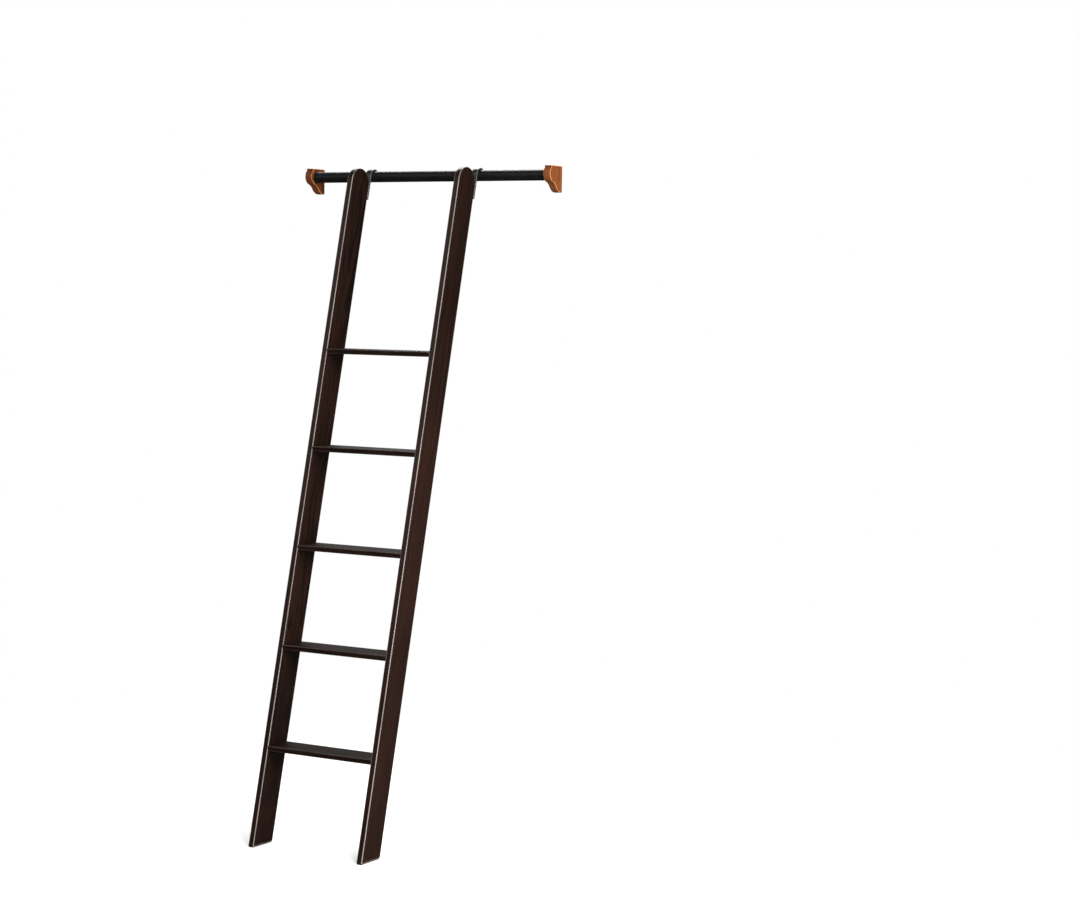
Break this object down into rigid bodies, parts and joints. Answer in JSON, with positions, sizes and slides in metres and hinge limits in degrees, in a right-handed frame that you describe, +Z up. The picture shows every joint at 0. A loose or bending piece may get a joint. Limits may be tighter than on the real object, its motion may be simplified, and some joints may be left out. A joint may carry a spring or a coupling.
{
  "type": "library ladder",
  "caption": "Straight leaning library ladder with flat treads whose steel hooks slide and pivot on a round rail between two wooden brackets.",
  "frame": {"origin": "on the floor, in the middle of the object's box along X and Y", "axes": "+Z up; +X along the rail, to the right for a person facing the ladder; +Y towards the bookcase, the way the ladder leans"},
  "size_m": [0.9258, 0.6578, 2.1031],
  "materials": {
    "ladder_wood": "satin near-black brown stain on hardwood, edges lightly worn",
    "hook_steel": "black satin paint on flat bar, edges rubbed bright",
    "rail_steel": "black satin paint on round tube",
    "bracket_wood": "satin cherry-brown stain",
    "dowel_wood": "plain beech",
    "screw_steel": "darkened steel",
    "pad_rubber": "matt black rubber"
  },
  "bodies": {
    "brackets": {"left_bracket": "bracket_wood", "right_bracket": "bracket_wood"},
    "rail": {"rail": "rail_steel"},
    "ladder": {"left_stile": "ladder_wood", "left_hook": "hook_steel", "left_hook_screw_upper": "screw_steel", "left_hook_screw_lower": "screw_steel", "left_foot_pad": "pad_rubber", "right_stile": "ladder_wood", "right_hook": "hook_steel", "right_hook_screw_upper": "screw_steel", "right_hook_screw_lower": "screw_steel", "right_foot_pad": "pad_rubber", "tread_1": "ladder_wood", "tread_1_dowel_left_front": "dowel_wood", "tread_1_dowel_left_rear": "dowel_wood", "tread_1_dowel_right_front": "dowel_wood", "tread_1_dowel_right_rear": "dowel_wood", "tread_2": "ladder_wood", "tread_2_dowel_left_front": "dowel_wood", "tread_2_dowel_left_rear": "dowel_wood", "tread_2_dowel_right_front": "dowel_wood", "tread_2_dowel_right_rear": "dowel_wood", "tread_3": "ladder_wood", "tread_3_dowel_left_front": "dowel_wood", "tread_3_dowel_left_rear": "dowel_wood", "tread_3_dowel_right_front": "dowel_wood", "tread_3_dowel_right_rear": "dowel_wood", "tread_4": "ladder_wood", "tread_4_dowel_left_front": "dowel_wood", "tread_4_dowel_left_rear": "dowel_wood", "tread_4_dowel_right_front": "dowel_wood", "tread_4_dowel_right_rear": "dowel_wood", "tread_5": "ladder_wood", "tread_5_dowel_left_front": "dowel_wood", "tread_5_dowel_left_rear": "dowel_wood", "tread_5_dowel_right_front": "dowel_wood", "tread_5_dowel_right_rear": "dowel_wood"}
  },
  "joints": [
    {"name": "ladder_tilt", "type": "hinge", "parent": "brackets", "child": "rail", "pos_m": [0, 0.28292, 2.0746], "axis": [-1, 0, 0], "range_deg": [0, 60]},
    {"name": "ladder_slide", "type": "slide", "parent": "rail", "child": "ladder", "axis": [1, 0, 0], "range_m": [-0.207, 0.239]}
  ]
}
